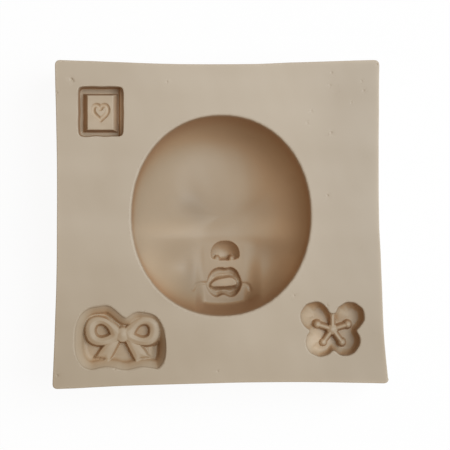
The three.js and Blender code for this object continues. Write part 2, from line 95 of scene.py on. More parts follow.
FLOWER_AT = (33.65, -31.6)
PETAL_RADIUS = 4.35
PETALS = [(-5.3, 4.0), (5.15, 4.0), (-3.65, -3.7), (3.85, -3.4)]
PETAL_DEPTH = 4.7
PETAL_STEEPER = dict(right=1.3, left=-0.35, front=0.5)
SHALLOW_PETAL = dict(at=(-4.6, -4.4), reach=(3.4, 3.4), raised=1.7)
PETAL_LIP = 0.45
BOWL_WALL = 3.7
HUB_RADIUS = 4.9
# A ring of stamens stands for the flower's letters
STAMEN_COUNT = 5
STAMEN_TOP = 1.6
STAMEN_LENGTH = 4.8
STAMEN_RADIUS = 0.62
BEAD_RADIUS = 1.0
PISTIL_RADIUS = 1.6

# A depth below everything, so that it never wins
FAR_BELOW = 9

SEED = 970


# Small numeric helpers

RIPPLE_WAVES = 9


def ripple(x, y, reach, seed):
    """Seeded smooth unevenness of about 1 either way, whose waves are about as long as reach."""
    random = np.random.default_rng(seed)
    total = np.zeros_like(x, dtype=float)
    for _ in range(RIPPLE_WAVES):
        turn = random.uniform(0, math.tau)
        phase = random.uniform(0, math.tau)
        length = reach * random.uniform(0.6, 1.7)
        total += np.sin(math.tau * (x * math.cos(turn) + y * math.sin(turn)) / length + phase)
    return total / math.sqrt(RIPPLE_WAVES)


def soft_max(a, b, blend):
    """The larger of two depths, rounded over where they cross."""
    mix = np.clip(0.5 + 0.5 * (a - b) / blend, 0, 1)
    return b + (a - b) * mix + blend * mix * (1 - mix)


def soft_min(a, b, blend):
    return -soft_max(-a, -b, blend)


def ease(value):
    value = np.clip(value, 0, 1)
    return value * value * (3 - 2 * value)


def form(x, y, at, reach, deeper):
    """A soft round swell of a given depth at its middle."""
    u = (x - at[0]) / reach[0]
    v = (y - at[1]) / reach[1]
    return deeper * np.exp(-u ** 2 - v ** 2)


def rim_radius(angle, half_width, half_height, squareness):
    """The radius of a rounded oval or square at an angle."""
    across = np.abs(np.cos(angle) / half_width) ** squareness
    along = np.abs(np.sin(angle) / half_height) ** squareness
    return (across + along) ** (-1 / squareness)


def oval_inset(x, y, half_width, half_height, squareness, lip):
    """How far a point lies inside the outer edge of a hollow's rounded lip."""
    return rim_radius(np.arctan2(y, x), half_width, half_height, squareness) + lip - np.hypot(x, y)


# Depths below the slab's top, as functions of place

def lip_depth(inset, lip):
    return lip - np.sqrt(np.clip(lip * lip - np.clip(inset, 0, lip) ** 2, 0, None))


def pit_depth(inset, depth, lip, draft, foot):
    """A rolled lip, a drafted wall, a rounded foot and a flat floor."""
    wall = lip + (depth - foot - lip) * (inset - lip) / draft
    to_floor = np.clip(lip + draft + foot - inset, 0, foot)
    curve = depth - foot + np.sqrt(np.clip(foot * foot - to_floor ** 2, 0, None))
    return np.where(inset < lip, lip_depth(inset, lip), np.where(inset < lip + draft, wall, curve))


def bowl_depth(inset, depth, lip, radius):
    from_middle = np.clip(1 - (inset - lip) / radius, 0, 1)
    bowl = lip + (depth - lip) * np.sqrt(1 - from_middle ** 2)
    return np.where(inset < lip, lip_depth(inset, lip), bowl)


def standing(inset, top, floor, edge, slope):
    """The depth of something that stands on a floor: a flat top, an eased edge and steep sides."""
    rounded = top + edge - np.sqrt(np.clip(edge * edge - np.clip(edge - inset, 0, edge) ** 2, 0, None))
    side = top + edge + (floor - top) * (-inset) / slope
    return np.where(inset > 0, rounded, side)


BEZIER_STEPS = 14


def bezier(start, pull_1, pull_2, end):
    t = np.linspace(0, 1, BEZIER_STEPS, endpoint=False)[:, None]
    start, pull_1, pull_2, end = [np.array(point, float) for point in (start, pull_1, pull_2, end)]
    return (1 - t) ** 3 * start + 3 * (1 - t) ** 2 * t * pull_1 + 3 * (1 - t) * t * t * pull_2 + t ** 3 * end


def path_distance(x, y, path, closed=True):
    """The distance to the nearest point of a path of straight steps."""
    ends = np.roll(path, -1, axis=0) if closed else path[1:]
    starts = path if closed else path[:-1]
    nearest = np.full(x.shape, np.inf)
    for (ax, ay), (bx, by) in zip(starts, ends):
        dx, dy = bx - ax, by - ay
        along = np.clip(((x - ax) * dx + (y - ay) * dy) / (dx * dx + dy * dy + 1e-12), 0, 1)
        nearest = np.minimum(nearest, np.hypot(x - ax - along * dx, y - ay - along * dy))
    return nearest


def outline_inset(x, y, path):
    """How far a point lies inside a closed outline, negative outside it."""
    inside = np.zeros(x.shape, bool)
    for (ax, ay), (bx, by) in zip(path, np.roll(path, -1, axis=0)):
        crosses = (ay > y) != (by > y)
        reach = ax + (y - ay) * (bx - ax) / (by - ay if by != ay else 1e-12)
        inside ^= crosses & (x < reach)
    distance = path_distance(x, y, path)
    return np.where(inside, distance, -distance)


def smooth_path(points, steps=6):
    """A closed curve through the points."""
    points = np.array(points, float)
    before, after, later = np.roll(points, 1, 0), np.roll(points, -1, 0), np.roll(points, -2, 0)
    made = []
    for t in np.linspace(0, 1, steps, endpoint=False):
        made.append(0.5 * (2 * points + (after - before) * t
                           + (2 * before - 5 * points + 4 * after - later) * t * t
                           + (3 * points - before - 3 * after + later) * t ** 3))
    return np.stack(made, axis=1).reshape(-1, 2)


# The face

# How steeply the bowl's wall falls towards each side, and how its upper part flares
WALL = dict(right=2.37, left=1.7, top=6.2, chin=7.0)
FLARE = dict(right=0.45, left=0.49, top=0.7, chin=0.76)

# The soft forms of the floor. Those of the lower face lie on a plateau whose three edges show.
FOREHEAD = dict(low=-4.4, x=-5.2, curve=0.03, reach=21.0, deeper=2.0, soft=1.2)
BROW_EDGE = dict(low=-3.9, left=-4.6, left_curve=0.1, right=7.0, right_curve=0.05, reach=9.0, deeper=0.5, soft=1.0,
                 fade_from=4, fade_over=7)
CREST = dict(y=-7.2, up=5.5, raised=1.5, left_start=-5.5, left_slope=0.19, left_soft=3.0, soft=1.8)
EYE_STEP = dict(left=2.6, left_reach=5.5, right=3.4, right_reach=4.6)
# Place, reach across and along, and how much deeper
CHEEKS = [(-16.0, -16.8, 5.2, 5.2, 2.2), (11.5, -16.8, 4.2, 6.0, -1.7), (-8.0, -17.5, 2.6, 7.5, -0.8)]
TEMPLES = [(-14.0, 3.2, 5.2, 5.2, 0.8), (14.0, 3.2, 5.2, 5.2, -0.3)]
# Where the forehead swells between the brows, and the hollow beside it: place, reach left, right, up and down
BROW_DIP = dict(at=(-12.0, 3.0), left=11.0, right=7.0, up=7.0, down=8.0, deeper=0.5)
BROW_SWELL = dict(at=(-8.5, 11.5), left=5.5, right=5.5, up=8.0, down=7.0, deeper=-0.5)
PLATEAU = dict(top=16.1, bottom=18.0, top_edge=5.0, left=-6.6, left_edge=3.2, right=9.8, right_edge=6.0)
PLATEAU_SWELL = dict(x=2.5, reach=8.0, deeper=0.3)
CHIN_WALL = dict(width=2.8, power=0.65, blend=2.4)
# The softness of a ramp's upper end, as a share of its length, and the width in which right takes over from left
RAMP_END_SOFT = 0.25
SIDE_BLEND = 20

# Nose and lips are laid out as the camera sees them, which draws a place so deep nearer to the picture's middle:
# that middle, measured from the face's own, and how much the depth shrinks the picture
SEEN_FROM = (1.35, -2.85)
SEEN_SCALE = 0.966
NOSE_AND_LIPS = dict(half_width=12, top=-4, bottom=-28)
NOSE_AT = (1.2, -11.5)
NOSE_DEEPER = 4.3
NOSE_HALF = dict(width=4.35, up=4.0, down=1.95)
NOSE_POWERS = dict(across=2.3, up=2.1, down=3.6, round=2.2, full=0.85)
NOSTRILS = [(-1.25, -12.9), (3.0, -12.9)]
NOSTRIL = dict(half_width=0.95, half_height=1.15, power=0.5, raised=0.85)
# How a lip's depth runs across it: its roundness, the dent in the upper lip's middle, and the lower lip's fuller
# right part and raised edge
LIPS_DEEPER = 3.3
LIP_RISE = 1.25
UPPER_LIP = dict(power=2.2, dent=0.24, dent_at=0.46, dent_reach=0.2)
LOWER_LIP = dict(power=1.6, left=0.5, right_more=0.55, blend_from=-3.4, blend_over=2.6)
LOWER_EDGE = dict(deeper=0.18, at=0.45, reach=0.3)
LIPS_MEET = dict(y=-21.2, over=1.6)
MOUTH_PATH = [
    (-4.4, -20.2), (-4.15, -18.9), (-3.6, -17.55), (-2.75, -16.4), (-1.35, -15.6), (0.1, -15.45),
    (1.3, -15.7), (2.5, -15.4), (3.8, -15.75), (4.9, -16.75), (5.6, -18.15), (6.05, -19.6), (6.25, -20.6),
    (5.95, -21.6), (5.45, -22.7), (4.55, -23.8), (3.3, -24.5), (2.2, -24.4), (1.3, -23.95), (0.4, -23.8),
    (-0.35, -24.1), (-1.3, -24.5), (-2.3, -24.25), (-3.4, -23.3), (-4.1, -22.2), (-4.4, -21.2),
]
GAP_PATH = [
    (-3.0, -20.85), (-2.4, -19.95), (-1.35, -19.4), (-0.3, -19.1), (0.75, -18.9), (1.95, -18.7), (3.1, -18.7),
    (3.9, -19.15), (4.55, -20.05), (4.2, -20.8), (2.85, -21.05), (1.05, -21.2), (-0.75, -21.25), (-2.25, -21.25),
]
CREASES = [
    [(-4.3, -20.3), (-6.0, -20.2), (-7.3, -20.5), (-8.3, -22.0)],
    [(6.1, -20.4), (7.5, -20.5), (8.4, -21.0), (8.8, -22.4)],
]
CREASE = dict(deeper=0.55, reach=0.42, stops_in_mouth=0.3)


def ramp(rise, reach, soft):
    """0 below the start of a slope, 1 above its end, eased at both."""
    rise, soft = rise / reach, soft / reach
    rise = 0.5 * (rise + np.sqrt(rise * rise + soft * soft))
    return 1 - 0.5 * (1 - rise + np.sqrt((1 - rise) ** 2 + RAMP_END_SOFT ** 2))


def bowl_wall(angle, share):
    """1 at the bowl's floor and 0 at its rim, for a share of the way out to the rim."""
    to_chin = np.clip(-np.sin(angle), 0, 1) ** 3
    to_top = np.clip(np.sin(angle), 0, 1) ** 2
    to_right = ease(0.5 + np.cos(angle))

    def blend(sides):
        across = sides["right"] * to_right + sides["left"] * (1 - to_right)
        return across * (1 - to_chin - to_top) + sides["top"] * to_top + sides["chin"] * to_chin

    return np.clip(1 - share ** blend(WALL), 0, 1) ** blend(FLARE)


def upper_forms(x, y):
    """Forehead, brow, crest between the eyes and the step below it, as depth added to the bowl."""
    to_right = ease(0.5 + x / SIDE_BLEND)
    low = FOREHEAD["low"] + FOREHEAD["curve"] * (x - FOREHEAD["x"]) ** 2
    forms = FOREHEAD["deeper"] * ramp(y - low, FOREHEAD["reach"], FOREHEAD["soft"])
    low = BROW_EDGE["low"] + BROW_EDGE["left_curve"] * np.minimum(x - BROW_EDGE["left"], 0) ** 2
    low = low + BROW_EDGE["right_curve"] * np.maximum(x - BROW_EDGE["right"], 0) ** 2
    fade = np.exp(-(np.maximum(y - BROW_EDGE["fade_from"], 0) / BROW_EDGE["fade_over"]) ** 2)
    forms += BROW_EDGE["deeper"] * ramp(y - low, BROW_EDGE["reach"], BROW_EDGE["soft"]) * fade
    above = np.maximum(y - CREST["y"], 0)
    fall = CREST["y"] - y
    below = 0.5 * (fall + np.sqrt(fall * fall + CREST["soft"] ** 2))
    past = CREST["left_start"] - x
    crest = CREST["raised"] + CREST["left_slope"] * 0.5 * (past + np.sqrt(past * past + CREST["left_soft"] ** 2))
    forms -= crest * np.exp(-(above / CREST["up"]) ** 2)
    reach = EYE_STEP["right_reach"] * to_right + EYE_STEP["left_reach"] * (1 - to_right)
    step = EYE_STEP["right"] * to_right + EYE_STEP["left"] * (1 - to_right)
    forms += step * (1 - np.exp(-below / reach))
    for swell in (BROW_DIP, BROW_SWELL):
        u, v = x - swell["at"][0], y - swell["at"][1]
        across = u / np.where(u > 0, swell["right"], swell["left"])
        along = v / np.where(v > 0, swell["up"], swell["down"])
        forms += swell["deeper"] * np.exp(-across ** 2 - along ** 2)
    for at_x, at_y, reach_x, reach_y, deeper in CHEEKS + TEMPLES:
        forms += form(x, y, (at_x, at_y), (reach_x, reach_y), deeper)
    return forms


def bare_face_depth(x, y):
    """The bowl with its soft forms, without nose and lips."""
    angle = np.arctan2(y, x)
    rim = rim_radius(angle, FACE_HALF_WIDTH, FACE_HALF_HEIGHT, FACE_SQUARENESS)
    share = np.clip(np.hypot(x, y) / rim, 0, 1)
    depth = FACE_LIP + (FACE_FLOOR - FACE_LIP + upper_forms(x, y)) * bowl_wall(angle, share)
    down = (CREST["y"] - y) / (FACE_HALF_HEIGHT + CREST["y"])
    plateau = PLATEAU["top"] + (PLATEAU["bottom"] - PLATEAU["top"]) * down
    swell = PLATEAU_SWELL
    plateau = plateau + swell["deeper"] * (1 - ((x - swell["x"]) / swell["reach"]) ** 2)
    wall = np.clip(rim * (1 - share) / CHIN_WALL["width"], 0, None) ** CHIN_WALL["power"]
    plateau = soft_min(plateau, FACE_LIP + (PLATEAU["bottom"] - FACE_LIP) * wall, CHIN_WALL["blend"])
    left = ease((x - PLATEAU["left"]) / PLATEAU["left_edge"] + 0.5)
    right = ease((PLATEAU["right"] - x) / PLATEAU["right_edge"] + 0.5)
    mask = left * right * ease((CREST["y"] - y) / PLATEAU["top_edge"] + 0.5)
    return depth + (plateau - depth) * mask


def nose_pocket(x, y):
    """1 where the nose is deepest and 0 round it, with the nostrils standing in it."""
    u, v = x - NOSE_AT[0], y - NOSE_AT[1]
    low = v < 0
    across = np.abs(u / NOSE_HALF["width"]) ** NOSE_POWERS["across"]
    along = np.abs(v / np.where(low, NOSE_HALF["down"], NOSE_HALF["up"])) ** np.where(
        low, NOSE_POWERS["down"], NOSE_POWERS["up"])
    radius = (across + along) ** (1 / NOSE_POWERS["round"])
    pocket = np.clip(1 - radius ** NOSE_POWERS["round"], 0, 1) ** NOSE_POWERS["full"]
    for at_x, at_y in NOSTRILS:
        u, v = (x - at_x) / NOSTRIL["half_width"], (y - at_y) / NOSTRIL["half_height"]
        pocket = pocket * (1 - NOSTRIL["raised"] * np.clip(1 - u ** 2 - v ** 2, 0, 1) ** NOSTRIL["power"])
    return pocket


def lips_and_creases(x, y):
    """The depths to add, in turn, for the lips round the mouth's gap and for each crease beside them."""
    mouth = outline_inset(x, y, smooth_path(MOUTH_PATH))
    gap = outline_inset(x, y, smooth_path(GAP_PATH))
    width = np.clip(mouth, 0, None) + np.clip(-gap, 0, None)
    across = np.clip(mouth / np.maximum(width, 0.01), 0, 1)
    to_edge = np.abs(2 * across - 1)
    dent = np.exp(-((across - UPPER_LIP["dent_at"]) / UPPER_LIP["dent_reach"]) ** 2)
    upper = 1 - to_edge ** UPPER_LIP["power"] - UPPER_LIP["dent"] * dent
    to_right = ease((x - LOWER_LIP["blend_from"]) / LOWER_LIP["blend_over"])
    lower = (1 - to_edge ** LOWER_LIP["power"]) * (LOWER_LIP["left"] + LOWER_LIP["right_more"] * to_right)
    lower = lower + LOWER_EDGE["deeper"] * np.exp(-((mouth - LOWER_EDGE["at"]) / LOWER_EDGE["reach"]) ** 2)
    over = ease((y - LIPS_MEET["y"]) / LIPS_MEET["over"])
    profile = upper * over + lower * (1 - over)
    yield np.minimum(LIPS_DEEPER, LIP_RISE * width) * profile * (mouth > 0) * (gap < 0)
    for crease in CREASES:
        away = path_distance(x, y, np.array(crease), closed=False)
        yield CREASE["deeper"] * np.exp(-(away / CREASE["reach"]) ** 2) * (mouth < CREASE["stops_in_mouth"])


def face_depth(x, y):
    rim_inset = face_inset(x, y)
    depth = bare_face_depth(x, y)
    near = (np.abs(x) < NOSE_AND_LIPS["half_width"]) & (y < NOSE_AND_LIPS["top"]) & (y > NOSE_AND_LIPS["bottom"])
    x, y = [at + (place[near] - at) * SEEN_SCALE for place, at in zip((x, y), SEEN_FROM)]
    carved = depth[near] + NOSE_DEEPER * nose_pocket(x, y)
    for added in lips_and_creases(x, y):
        carved = carved + added
    depth[near] = carved
    return np.where(rim_inset < FACE_LIP, lip_depth(rim_inset, FACE_LIP), depth)


def face_inset(x, y):
    inset = oval_inset(x, y, FACE_HALF_WIDTH, FACE_HALF_HEIGHT, FACE_SQUARENESS, FACE_LIP)
    return inset + 0.035 * ripple(x, y, 3.0, SEED + 41)


# The tile

def heart_path(width):
    half = width / 2
    left = [
        bezier((0, half * 0.55), (-half * 0.3, half * 1.25), (-half * 1.1, half * 1.05), (-half, half * 0.25)),
        bezier((-half, half * 0.25), (-half * 0.9, -half * 0.35), (-half * 0.3, -half * 0.65), (0, -half)),
    ]
    right = [
        bezier((0, -half), (half * 0.3, -half * 0.65), (half * 0.9, -half * 0.35), (half, half * 0.25)),
        bezier((half, half * 0.25), (half * 1.1, half * 1.05), (half * 0.3, half * 1.25), (0, half * 0.55)),
    ]
    return np.vstack(left + right)


def tile_inset(x, y):
    inset = oval_inset(x, y, TILE_HALF_WIDTH, TILE_HALF_LENGTH, TILE_SQUARENESS, TILE_WALLS["lip"])
    return inset + 0.07 * ripple(x, y, 5, SEED + 11)


def tile_depth(x, y):
    floor = TILE_WALLS["depth"]
    depth = pit_depth(tile_inset(x, y), **TILE_WALLS)
    ledge = standing(x - LEDGE["edge_x"], LEDGE["top"], floor, LEDGE["edge"], LEDGE["slope"])
    ledge = np.where(x > LEDGE["start"], np.maximum(ledge, LEDGE["top"]), FAR_BELOW)
    depth = soft_min(depth, ledge, TILE_BLEND)
    u, v = x - POST_AT[0], y - POST_AT[1]
    slope = np.where(u > 0, POST_RIGHT_SLOPE, POST_LEFT_SLOPE)
    sides = standing(POST_HALF_WIDTH - np.abs(u), POST_TOP, floor, POST_EDGE, slope)
    ends = standing(POST_HALF_LENGTH - np.abs(v), POST_TOP, floor, POST_EDGE, POST_SLOPE)
    post = soft_max(sides, ends, TILE_BLEND)
    sunk_middle = np.exp(-((u / POST_MIDDLE["half_width"]) ** 2 + (v / POST_MIDDLE["half_length"]) ** 2))
    post = post + POST_MIDDLE["deeper"] * sunk_middle - 0.06 * ripple(x, y, 4, SEED + 12)
    stroke = path_distance(x, y, heart_path(HEART_WIDTH - HEART_STROKE) + np.array(POST_AT)) / (HEART_STROKE / 2)
    groove = HEART_GROOVE * np.clip(1 - stroke ** 2, 0, 1)
    return soft_min(depth, post + groove, TILE_BLEND)


# The cloud

CLOUD_EDGE = smooth_path(CLOUD_RIM, 4)


def cloud_inset(x, y):
    return outline_inset(x, y, CLOUD_EDGE)


RIBBON_WIDTH = 2.9
LOOP_LENGTH = 11.2
LOOP_HEIGHT = 9.8
KNOT_HALF_WIDTH = 2.1
KNOT_HALF_HEIGHT = 2.3
TAIL_LENGTH = 8.2
TAIL_SPREAD = 5.6
BOW_MIDDLE = (0.1, 0.9)
RIBBON_SIDE = dict(edge=0.35, slope=0.75)
RIBBON_ROUND = 0.35
TAIL_LOWER = 0.35
TAIL_ROUND = 0.3
BOW_BLEND = 0.25
KNOT_SIDE = dict(edge=0.5, slope=0.4)
KNOT_HIGHER = 0.35
KNOT_ROUND = 0.5
KNOT_BLEND = 0.15


def ribbon_paths(side):
    """The outer and inner outlines of a loop and the outline of a tail, on one side of the knot."""
    end = side * LOOP_LENGTH
    high = LOOP_HEIGHT * 0.62
    low = LOOP_HEIGHT * -0.38
    loop = np.vstack([
        bezier((0, 0.9), (end * 0.35, high), (end, high * 1.25), (end, high * 0.2)),
        bezier((end, high * 0.2), (end, low * 1.2), (end * 0.45, low * 1.1), (0, -1.1)),
    ])
    root = side * (KNOT_HALF_WIDTH + RIBBON_WIDTH / 2)
    tip = end - side * RIBBON_WIDTH
    inner_high = high - RIBBON_WIDTH * 0.7
    inner_low = low + RIBBON_WIDTH * 0.8
    eye = np.vstack([
        bezier((root, 0.15), (end * 0.42, inner_high), (tip, inner_high), (tip, high * 0.2)),
        bezier((tip, high * 0.2), (tip, inner_low), (end * 0.5, inner_low), (root, 0.15)),
    ])
    wide = side * RIBBON_WIDTH
    foot = side * TAIL_SPREAD
    outer_pull = (foot * 0.6 + wide, TAIL_LENGTH * -0.5)
    inner_pull = (foot * 0.35, TAIL_LENGTH * -0.5)
    tail = np.vstack([
        bezier((wide * 0.8, 0), outer_pull, outer_pull, (foot + wide * 0.8, TAIL_LENGTH * -0.82)),
        [(foot + wide * 0.8, TAIL_LENGTH * -0.82), (foot, TAIL_LENGTH * -0.86)],
        bezier((foot - wide * 0.5, -TAIL_LENGTH), inner_pull, inner_pull, (0, 0)),
        [(0, 0)],
    ])
    return loop, eye, tail


def cloud_depth(x, y):
    depth = pit_depth(cloud_inset(x, y), **CLOUD_WALLS) - 0.12 * ripple(x, y, 7, SEED + 21)
    depth = depth * (1 + CLOUD_RIGHT["deeper"] * ease((x - CLOUD_RIGHT["start"]) / CLOUD_RIGHT["over"]))
    floor = CLOUD_WALLS["depth"]
    bx, by = x - BOW_MIDDLE[0], y - BOW_MIDDLE[1]
    wander = 0.12 * ripple(x, y, 6, SEED + 22)
    for side in (-1, 1):
        loop, eye, tail = ribbon_paths(side)
        inset = np.minimum(outline_inset(bx, by, loop), -outline_inset(bx, by, eye))
        crown = RIBBON_TOP + wander + RIBBON_ROUND * ease(1 - inset / (RIBBON_WIDTH / 2))
        depth = soft_min(depth, standing(inset, crown, floor, **RIBBON_SIDE), BOW_BLEND)
        inset = outline_inset(bx, by, tail)
        crown = RIBBON_TOP + TAIL_LOWER + wander + TAIL_ROUND * ease(1 - inset / (RIBBON_WIDTH / 2))
        depth = soft_min(depth, standing(inset, crown, floor, **RIBBON_SIDE), BOW_BLEND)
    knot = (1 - np.hypot(bx / KNOT_HALF_WIDTH, by / KNOT_HALF_HEIGHT)) * KNOT_HALF_WIDTH
    crown = RIBBON_TOP - KNOT_HIGHER + KNOT_ROUND * ease(1 - knot / KNOT_HALF_WIDTH)
    return np.maximum(soft_min(depth, standing(knot, crown, floor, **KNOT_SIDE), KNOT_BLEND), 0.0)


# The flower

def petal_reach(x, y):
    inset = HUB_RADIUS + PETAL_LIP - np.hypot(x, y)
    for px, py in PETALS:
        inset = soft_max(inset, PETAL_RADIUS + PETAL_LIP - np.hypot(x - px, y - py), 0.5)
    return inset + 0.08 * ripple(x, y, 4, SEED + 31)


SEARCH_REACH = 40.0
SEARCH_STEPS = 32


def ring_radius(inset, angle, level):
    """How far along each angle the inset has fallen to a level."""
    near = np.zeros_like(angle)
    far = np.full_like(angle, SEARCH_REACH)
    for _ in range(SEARCH_STEPS):
        middle = (near + far) / 2
        deeper = inset(middle * np.cos(angle), middle * np.sin(angle)) > level
        near = np.where(deeper, middle, near)
        far = np.where(deeper, far, middle)
    return near


def rim_path(inset, count):
    angle = np.linspace(0, math.tau, count, endpoint=False)
    radius = ring_radius(inset, angle, 0.0)
    return np.column_stack([radius * np.cos(angle), radius * np.sin(angle)])


FLOWER_EDGE = rim_path(petal_reach, 160)
PISTIL_SIDE = dict(edge=0.4, slope=0.45)
STAMEN_SIDE = dict(edge=0.35, slope=0.7)


def flower_inset(x, y):
    return outline_inset(x, y, FLOWER_EDGE)


def inset_slope(x, y, step_x, step_y):
    """How fast the flower's inset grows along a direction, over a step to both sides."""
    grown = flower_inset(x + step_x, y + step_y) - flower_inset(x - step_x, y - step_y)
    return grown / (2 * (step_x + step_y))


def flower_depth(x, y):
    inset = flower_inset(x, y)
    to_left = inset_slope(x, y, 0.6, 0)
    to_front = inset_slope(x, y, 0, 1.2)
    steeper = 1 + PETAL_STEEPER["right"] * ease(-to_left) + PETAL_STEEPER["left"] * ease(to_left)
    steeper = steeper + PETAL_STEEPER["front"] * ease(to_front) * ease(1.5 - to_left)
    inset = np.where(inset > PETAL_LIP, PETAL_LIP + (inset - PETAL_LIP) * steeper, inset)
    depth = bowl_depth(inset, PETAL_DEPTH, PETAL_LIP, BOWL_WALL)
    depth = depth - 0.1 * ripple(x, y, 6, SEED + 32) * ease(depth)
    shallow = form(x, y, SHALLOW_PETAL["at"], SHALLOW_PETAL["reach"], SHALLOW_PETAL["raised"])
    depth = depth - shallow * ease(depth / 3)
    floor = PETAL_DEPTH
    for turn in range(STAMEN_COUNT):
        angle = math.tau * (turn + 0.25) / STAMEN_COUNT
        tip = STAMEN_LENGTH * np.array([[0, 0], [math.cos(angle), math.sin(angle)]])
        stalk = STAMEN_RADIUS - path_distance(x, y, tip, closed=False)
        crown = STAMEN_TOP + 0.2 + 0.35 * ease(1 - stalk / STAMEN_RADIUS)
        depth = soft_min(depth, standing(stalk, crown, floor, **STAMEN_SIDE), 0.25)
        bead = BEAD_RADIUS - np.hypot(x - tip[1, 0], y - tip[1, 1])
        crown = STAMEN_TOP + 0.6 * ease(1 - bead / BEAD_RADIUS) ** 1.5
        depth = soft_min(depth, standing(bead, crown, floor, **STAMEN_SIDE), 0.2)
    pistil = PISTIL_RADIUS - np.hypot(x, y)
    crown = STAMEN_TOP - 0.15 + 0.7 * ease(1 - pistil / PISTIL_RADIUS) ** 1.5
    return soft_min(depth, standing(pistil, crown, floor, **PISTIL_SIDE), 0.2)


# Meshes of the hollows: rings from the outer edge of the lip to one point

LIP_RINGS = 7
WALL_RINGS = 12


def even_angles(inset, count):
    """Angles whose points are evenly spaced along the rim."""
    fine = np.linspace(0, math.tau, 4001)
    radius = ring_radius(inset, fine, 0.0)
    steps = np.hypot(np.diff(radius * np.cos(fine)), np.diff(radius * np.sin(fine)))
    length = np.concatenate([[0], np.cumsum(steps)])
    return np.interp(np.linspace(0, length[-1], count, endpoint=False), length, fine)


def hollow_mesh(at, inset, depth, lip, wall, spacing, rim_spacing):
    """Vertices and faces of a hollow, whose first ring is its rim on the slab's top."""
    around = ring_radius(inset, np.linspace(0, math.tau, 721), 0.0)
    count = int(math.tau * around.mean() / rim_spacing)
    angle = even_angles(inset, count)
    levels = [lip * math.sin(math.pi / 2 * step / LIP_RINGS) for step in range(LIP_RINGS + 1)]
    levels += [lip + wall * step / WALL_RINGS for step in range(1, WALL_RINGS + 1)]
    rings = [ring_radius(inset, angle, level) for level in levels]
    last = rings[-1]
    inner = int(last.max() / spacing)
    rings += [last * (1 - step / inner) for step in range(1, inner)]
    radius = np.array(rings)
    x = radius * np.cos(angle)
    y = radius * np.sin(angle)
    z = -depth(x, y)
    z[0] = 0
    points = np.stack([x, y, z], axis=-1).reshape(-1, 3)
    middle = np.array([[0, 0, -depth(np.zeros(1), np.zeros(1))[0]]])
    points = np.vstack([points, middle]) + np.array([at[0], at[1], TOP])
    faces = []
    for ring in range(len(rings) - 1):
        here = ring * count + np.arange(count)
        there = ring * count + (np.arange(count) + 1) % count
        faces += np.stack([here, there, there + count, here + count], axis=-1).tolist()
    base = (len(rings) - 1) * count
    faces += [[base + k, base + (k + 1) % count, len(points) - 1] for k in range(count)]
    return points, faces, count


# The slab's outline and its outside

CORNER_ROUND = 1.6
EDGE_ROUND = 0.3
CORNER_STEPS = 7
SIDE_STEPS = 130
EDGE_ROWS = 6
UPRIGHT_ROWS = 20
# How far the flat top is lowered, so that its ripple keeps to the CAD's height, and where up the slab it sets in
TOP_LOWER = 0.06
RIPPLE_FROM = 2
RIPPLE_OVER = 6
BACK_LEFT_DRAW = 0.75
BACK_RIGHT_DRAW = 2.9
FRONT_RIGHT_DRAW = 1.75
HALF_X = 50.5
HALF_Y = 49.4
# Each corner, and how far the side that starts there bows inwards
CORNERS = [
    ((-HALF_X, -HALF_Y), 0.95),
    ((HALF_X, -HALF_Y + FRONT_RIGHT_DRAW), 1.4),
    ((HALF_X - BACK_RIGHT_DRAW, HALF_Y), 1.2),
    ((-HALF_X + BACK_LEFT_DRAW, HALF_Y), 0.9),
]
# How much further inwards each of those sides lies at shares of its length
SIDE_WAVES = [
    [(0, 0), (0.05, -0.1), (0.2, -0.02), (0.35, -0.08), (0.46, -0.05), (0.55, 0.04), (0.75, 0.1), (0.9, 0.02),
     (1, 0)],
    [(0, 0.2), (0.1, 0.37), (0.15, 0.37), (0.2, 0.24), (0.29, 0.02), (0.4, -0.05), (0.48, 0.08), (0.6, -0.03),
     (0.7, -0.14), (0.85, -0.18), (0.95, -0.03), (1, 0)],
    [(0, 0), (0.05, -0.12), (0.15, -0.2), (0.27, -0.2), (0.33, -0.04), (0.37, 0.06), (0.62, 0.09), (0.7, 0.03),
     (0.8, -0.1), (0.9, -0.12), (1, 0)],
    [(0, 0), (0.06, -0.06), (0.2, 0), (0.3, 0.06), (0.5, 0.06), (0.6, 0.13), (0.7, 0.15), (0.8, 0.07), (1, 0)],
]
# Bubbles and nicks in the top: place, reach and depth
BLEMISHES = [
    (-44.8, 43.6, 0.42, 0.5), (-44.3, 43.1, 0.35, 0.3), (-49.1, 39.5, 0.25, 0.25), (-16.1, 42.8, 0.3, 0.12),
    (-15.7, 43.1, 0.25, -0.06), (33.3, 45.6, 0.35, 0.14), (32.8, 41.8, 0.4, 0.1), (42.3, 43.1, 0.3, 0.1),
    (42.9, 40.2, 0.35, 0.14), (39.2, 36.7, 0.3, 0.08), (27.2, 34.0, 0.4, 0.1), (26.0, 30.5, 0.4, 0.08),
    (33.2, 27.6, 0.33, 0.2), (32.6, 27.2, 0.25, -0.08), (32.1, 8.7, 0.3, 0.22), (46.9, 48.1, 0.22, 0.2),
    (-49.0, -45.3, 0.28, 0.25), (22.1, -21.3, 0.25, 0.16), (-0.9, -44.0, 0.3, 0.16), (-31.8, -43.4, 0.3, 0.18),
    (-23.1, -26.4, 0.3, 0.22), (32.0, -24.3, 0.3, 0.16), (-40.6, 29.6, 0.35, 0.2),
]


def quadratic(start, pull, end, steps):
    t = np.linspace(0, 1, steps, endpoint=False)[:, None]
    return (1 - t) ** 2 * start + 2 * (1 - t) * t * pull + t * t * end


